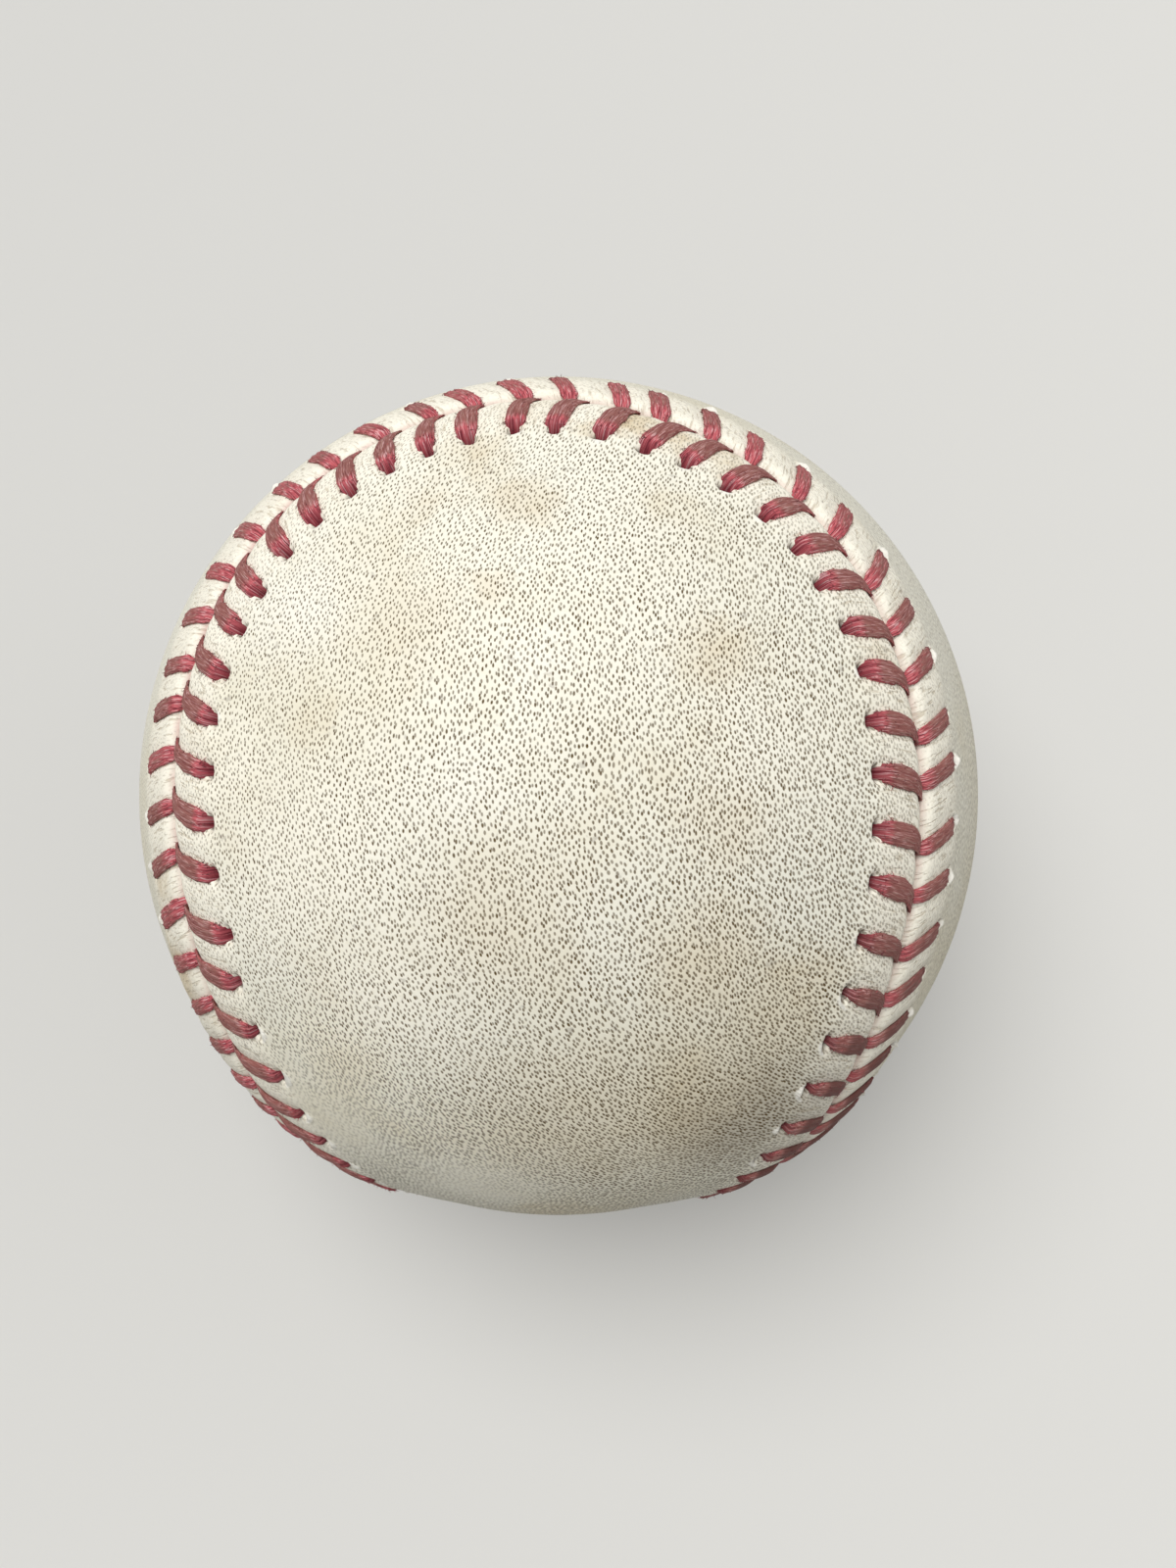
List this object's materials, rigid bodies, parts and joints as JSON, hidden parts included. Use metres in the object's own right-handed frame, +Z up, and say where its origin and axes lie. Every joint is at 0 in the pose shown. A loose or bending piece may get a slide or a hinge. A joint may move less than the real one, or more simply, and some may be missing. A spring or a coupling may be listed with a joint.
{
  "type": "baseball",
  "caption": "Hard ball with a cork and rubber centre, wound yarn and interlocking leather cover panels laced with raised red thread, for throwing and batting.",
  "frame": {"origin": "centre of the ball", "axes": "+Z up as the ball lies in the picture, -Y towards the viewer, +X to the viewer's right; the plane X = 0 halves both cover panels"},
  "size_m": [0.0738, 0.0751, 0.0738],
  "materials": {
    "cork": "matte",
    "black_rubber": "matte",
    "red_rubber": "matte",
    "grey_wool": "matte",
    "white_wool": "matte",
    "finishing_yarn": "matte",
    "white_leather": "satin",
    "red_thread": "matte"
  },
  "bodies": {
    "root": {"cork_core": "cork", "black_rubber_half_lower": "black_rubber", "black_rubber_half_upper": "black_rubber", "rubber_gasket": "red_rubber", "red_rubber_half_lower": "red_rubber", "red_rubber_half_upper": "red_rubber", "first_wool_winding": "grey_wool", "second_wool_winding": "white_wool", "third_wool_winding": "grey_wool", "finishing_yarn_winding": "finishing_yarn", "cover_panel_front": "white_leather", "cover_panel_back": "white_leather", "stitch_thread_first": "red_thread", "stitch_thread_second": "red_thread"}
  },
  "joints": []
}
